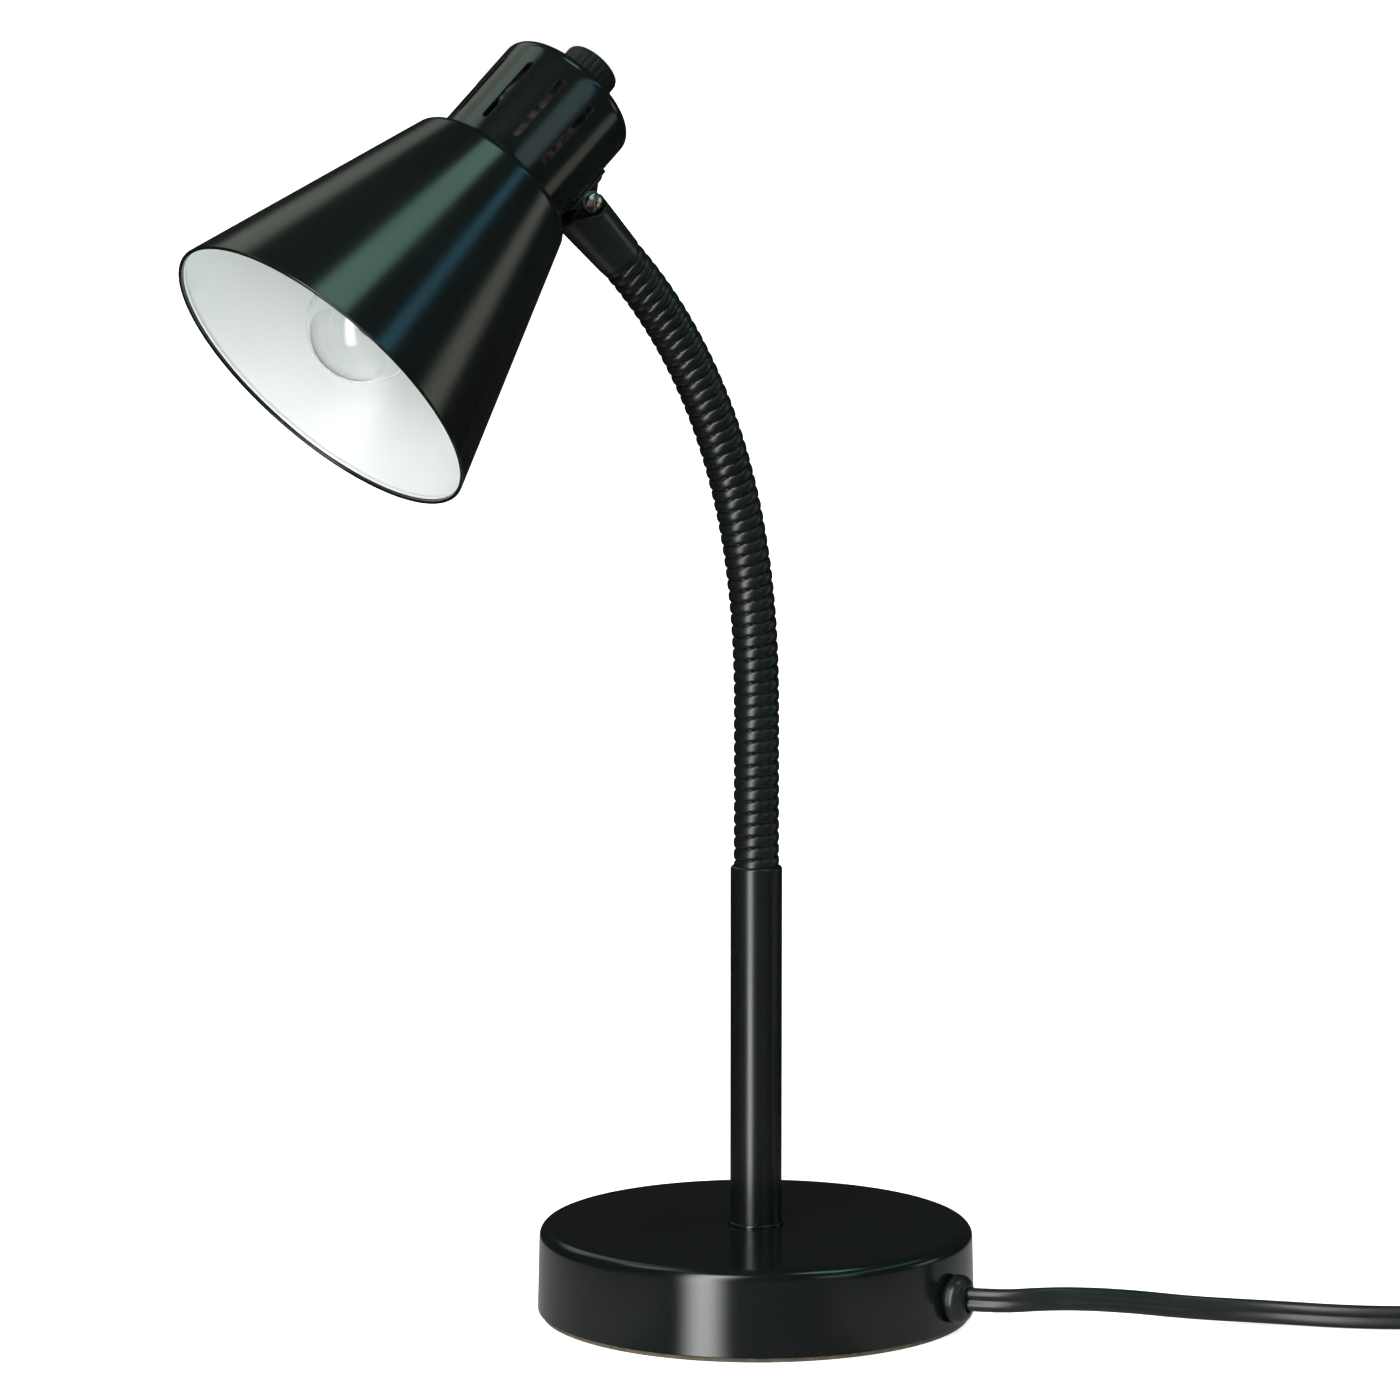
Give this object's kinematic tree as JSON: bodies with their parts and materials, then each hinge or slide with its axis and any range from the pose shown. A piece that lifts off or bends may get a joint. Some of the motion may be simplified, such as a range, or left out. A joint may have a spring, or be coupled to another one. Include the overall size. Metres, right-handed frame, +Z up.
{
  "type": "gooseneck desk lamp",
  "caption": "Desk lamp with a weighted round base, tube stem, bendable ribbed gooseneck and tilting cone shade with a rotary switch.",
  "frame": {"origin": "middle of the base's underside, on the table", "axes": "+Z up along the stem; the neck and head lie in the XZ plane and reach towards -X"},
  "size_m": [0.482, 0.2492, 0.3951],
  "materials": {
    "black_enamel": "gloss",
    "shade_enamel": "gloss",
    "pad_sheet": "matt",
    "cast_weight": "rough cast",
    "zinc_steel": "zinc plated",
    "nickel_screw": "nickel plated, bright",
    "brown_phenolic": "satin",
    "white_ring": "satin",
    "brass_contact": "bright",
    "cap_metal": "bright",
    "bulb_clear_glass": "clear",
    "filament_wire": "drawn wire",
    "black_knob": "satin",
    "black_bushing": "satin",
    "black_cord": "satin",
    "black_plug": "satin",
    "plug_metal": "nickel plated"
  },
  "bodies": {
    "base": {"base_cover": "black_enamel", "base_pad": "pad_sheet", "base_weight": "cast_weight", "stem_tube": "black_enamel", "stem_foot_ring": "black_enamel", "stem_plug": "zinc_steel", "threaded_pipe": "zinc_steel", "base_washer": "zinc_steel", "base_nut": "zinc_steel", "neck_ferrule": "zinc_steel", "cord_bushing": "black_bushing", "stem_leads": "black_cord", "cord_tube": "black_cord", "cord_coil": "black_cord", "cord_tail": "black_cord", "plug_body": "black_plug", "plug_blades": "plug_metal"},
    "neck_01": {"neck_segment_01": "black_enamel"},
    "neck_02": {"neck_segment_02": "black_enamel"},
    "neck_03": {"neck_segment_03": "black_enamel"},
    "neck_04": {"neck_segment_04": "black_enamel"},
    "neck_05": {"neck_segment_05": "black_enamel"},
    "neck_06": {"neck_segment_06": "black_enamel"},
    "neck_07": {"neck_segment_07": "black_enamel"},
    "neck_08": {"neck_segment_08": "black_enamel"},
    "neck_09": {"neck_segment_09": "black_enamel"},
    "neck_10": {"neck_segment_10": "black_enamel"},
    "neck_11": {"neck_segment_11": "black_enamel"},
    "neck_end": {"neck_sleeve": "black_enamel"},
    "head": {"pivot_bracket": "black_enamel", "bracket_rivets": "black_enamel", "pivot_screw": "nickel_screw", "pivot_washer": "nickel_screw", "pivot_nut": "nickel_screw", "socket_cup": "black_enamel", "shade": "shade_enamel", "shade_ring": "white_ring", "socket_body": "brown_phenolic", "screw_shell": "brass_contact", "centre_contact": "brass_contact", "switch_body": "brown_phenolic", "switch_nut": "nickel_screw", "bulb_glass": "bulb_clear_glass", "bulb_cap": "cap_metal", "bulb_stem": "bulb_clear_glass", "bulb_filament": "filament_wire"},
    "knob": {"switch_shaft": "brass_contact", "switch_knob": "black_knob"}
  },
  "joints": [
    {"name": "lower_bend", "type": "hinge", "parent": "base", "child": "neck_01", "pos_m": [0, 0, 0.14082], "axis": [0, -1, 0], "range_deg": [-8, 8]},
    {"name": "side_bend", "type": "hinge", "parent": "neck_01", "child": "neck_02", "pos_m": [0, 0, 0.15918], "axis": [1, 0, 0], "range_deg": [-9, 9]},
    {"name": "lower_bend_03", "type": "hinge", "parent": "neck_02", "child": "neck_03", "pos_m": [0, 0, 0.17754], "axis": [0, -1, 0], "range_deg": [-8, 8]},
    {"name": "lower_bend_04", "type": "hinge", "parent": "neck_03", "child": "neck_04", "pos_m": [-0.00001, 0, 0.1959], "axis": [0, -1, 0], "range_deg": [-8, 8]},
    {"name": "side_bend_05", "type": "hinge", "parent": "neck_04", "child": "neck_05", "pos_m": [-0.00088, 0, 0.21424], "axis": [0.9966, 0, 0.0819], "range_deg": [-9, 9]},
    {"name": "lower_bend_06", "type": "hinge", "parent": "neck_05", "child": "neck_06", "pos_m": [-0.00302, 0, 0.23247], "axis": [0, -1, 0], "range_deg": [-8, 8]},
    {"name": "upper_bend", "type": "hinge", "parent": "neck_06", "child": "neck_07", "pos_m": [-0.00666, 0, 0.25047], "axis": [0, -1, 0], "range_deg": [-12, 6]},
    {"name": "side_bend_08", "type": "hinge", "parent": "neck_07", "child": "neck_08", "pos_m": [-0.01196, 0, 0.26805], "axis": [0.9416, 0, 0.3368], "range_deg": [-9, 9]},
    {"name": "upper_bend_09", "type": "hinge", "parent": "neck_08", "child": "neck_09", "pos_m": [-0.01901, 0, 0.285], "axis": [0, -1, 0], "range_deg": [-12, 6]},
    {"name": "upper_bend_10", "type": "hinge", "parent": "neck_09", "child": "neck_10", "pos_m": [-0.02787, 0, 0.30108], "axis": [0, -1, 0], "range_deg": [-12, 6]},
    {"name": "side_bend_11", "type": "hinge", "parent": "neck_10", "child": "neck_11", "pos_m": [-0.03852, 0, 0.31604], "axis": [0.7779, 0, 0.6284], "range_deg": [-9, 9]},
    {"name": "upper_bend_12", "type": "hinge", "parent": "neck_11", "child": "neck_end", "pos_m": [-0.0509, 0, 0.3296], "axis": [0, -1, 0], "range_deg": [-12, 6]},
    {"name": "head_tilt", "type": "hinge", "parent": "neck_end", "child": "head", "pos_m": [-0.06523, 0, 0.3474], "axis": [0, -1, 0], "range_deg": [-50, 15]},
    {"name": "switch_turn", "type": "hinge", "parent": "head", "child": "knob", "pos_m": [-0.06603, 0, 0.38242], "axis": [0.7443, 0, 0.6678], "continuous": true}
  ],
  "couplings": [
    {"joint": "lower_bend_03", "follows": "lower_bend", "ratio": 1},
    {"joint": "lower_bend_04", "follows": "lower_bend", "ratio": 1},
    {"joint": "side_bend_05", "follows": "side_bend", "ratio": 1},
    {"joint": "lower_bend_06", "follows": "lower_bend", "ratio": 1},
    {"joint": "side_bend_08", "follows": "side_bend", "ratio": 1},
    {"joint": "upper_bend_09", "follows": "upper_bend", "ratio": 1},
    {"joint": "upper_bend_10", "follows": "upper_bend", "ratio": 1},
    {"joint": "side_bend_11", "follows": "side_bend", "ratio": 1},
    {"joint": "upper_bend_12", "follows": "upper_bend", "ratio": 1}
  ]
}
